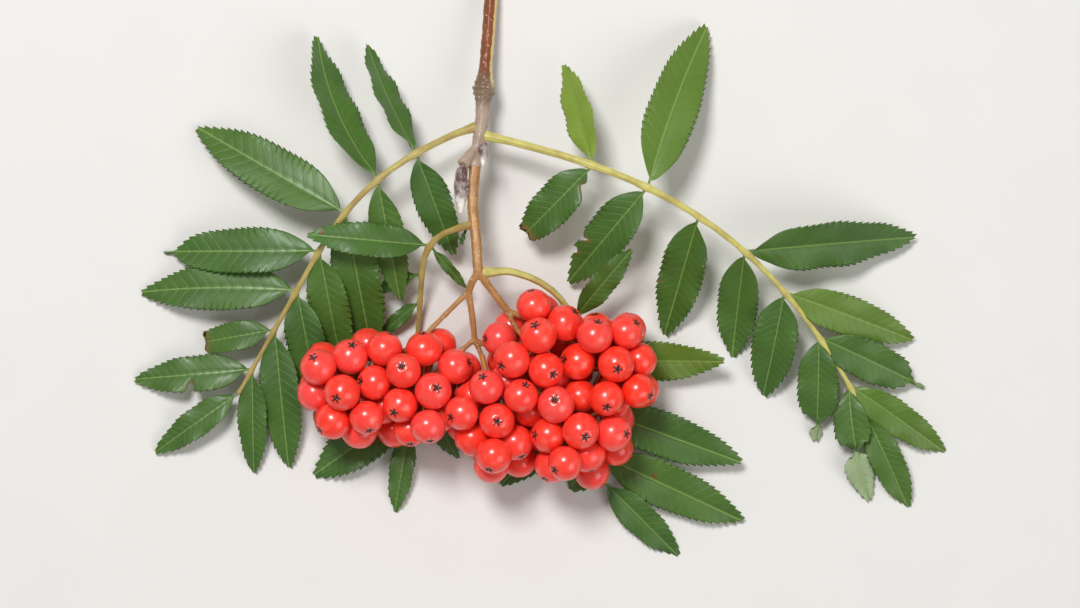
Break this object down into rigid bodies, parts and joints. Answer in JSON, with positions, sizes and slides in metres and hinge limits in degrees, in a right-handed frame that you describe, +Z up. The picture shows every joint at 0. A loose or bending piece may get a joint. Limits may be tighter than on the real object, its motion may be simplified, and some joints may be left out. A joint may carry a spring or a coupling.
{
  "type": "rowan berry sprig",
  "caption": "Cut rowan shoot lying on a surface: a woody twig with feather-shaped leaves and a dense hanging cluster of ripe red berries.",
  "frame": {"origin": "middle of the footprint, on the surface that the sprig lies on", "axes": "+X across the leaves, +Y towards the twig's cut end, +Z up from the surface"},
  "size_m": [0.213, 0.1608, 0.0313],
  "materials": {
    "bark": "satin",
    "bud_scales": "satin",
    "leaf_stalk": "satin",
    "fruit_stalk": "satin",
    "leaf_blade": "satin",
    "berry_skin": "glossy"
  },
  "bodies": {
    "root": {"bud_side": "bud_scales", "bud_terminal": "bud_scales", "fruit_stalk": "fruit_stalk", "leaf_stalk_left": "leaf_stalk", "leaf_stalk_left_behind": "leaf_stalk", "leaf_stalk_right": "leaf_stalk", "leaf_stalk_right_behind": "leaf_stalk", "leaflet_left_behind_inner_1": "leaf_blade", "leaflet_left_behind_low_1": "leaf_blade", "leaflet_left_behind_low_2": "leaf_blade", "leaflet_left_behind_outer_1": "leaf_blade", "leaflet_left_behind_outer_2": "leaf_blade", "leaflet_left_behind_outer_3": "leaf_blade", "leaflet_left_behind_terminal": "leaf_blade", "leaflet_left_inner_1": "leaf_blade", "leaflet_left_inner_2": "leaf_blade", "leaflet_left_inner_3": "leaf_blade", "leaflet_left_inner_4": "leaf_blade", "leaflet_left_inner_5": "leaf_blade", "leaflet_left_inner_6": "leaf_blade", "leaflet_left_inner_7": "leaf_blade", "leaflet_left_outer_1": "leaf_blade", "leaflet_left_outer_2": "leaf_blade", "leaflet_left_outer_3": "leaf_blade", "leaflet_left_outer_4": "leaf_blade", "leaflet_left_outer_5": "leaf_blade", "leaflet_left_outer_6": "leaf_blade", "leaflet_left_outer_7": "leaf_blade", "leaflet_left_terminal": "leaf_blade", "leaflet_right_behind_inner_3": "leaf_blade", "leaflet_right_behind_low_1": "leaf_blade", "leaflet_right_behind_outer_1": "leaf_blade", "leaflet_right_behind_outer_2": "leaf_blade", "leaflet_right_behind_outer_3": "leaf_blade", "leaflet_right_behind_outer_4": "leaf_blade", "leaflet_right_behind_terminal": "leaf_blade", "leaflet_right_inner_1": "leaf_blade", "leaflet_right_inner_2": "leaf_blade", "leaflet_right_inner_3": "leaf_blade", "leaflet_right_inner_4": "leaf_blade", "leaflet_right_inner_5": "leaf_blade", "leaflet_right_inner_6": "leaf_blade", "leaflet_right_inner_7": "leaf_blade", "leaflet_right_outer_1": "leaf_blade", "leaflet_right_outer_2": "leaf_blade", "leaflet_right_outer_4": "leaf_blade", "leaflet_right_outer_5": "leaf_blade", "leaflet_right_outer_6": "leaf_blade", "leaflet_right_outer_7": "leaf_blade", "leaflet_right_terminal": "leaf_blade", "spray_far_left": "berry_skin", "spray_far_right": "berry_skin", "spray_lower_middle": "berry_skin", "spray_lower_right": "berry_skin", "spray_mid_left": "berry_skin", "spray_upper_right": "berry_skin", "twig": "bark", "stipule": "leaf_blade"}
  },
  "joints": []
}
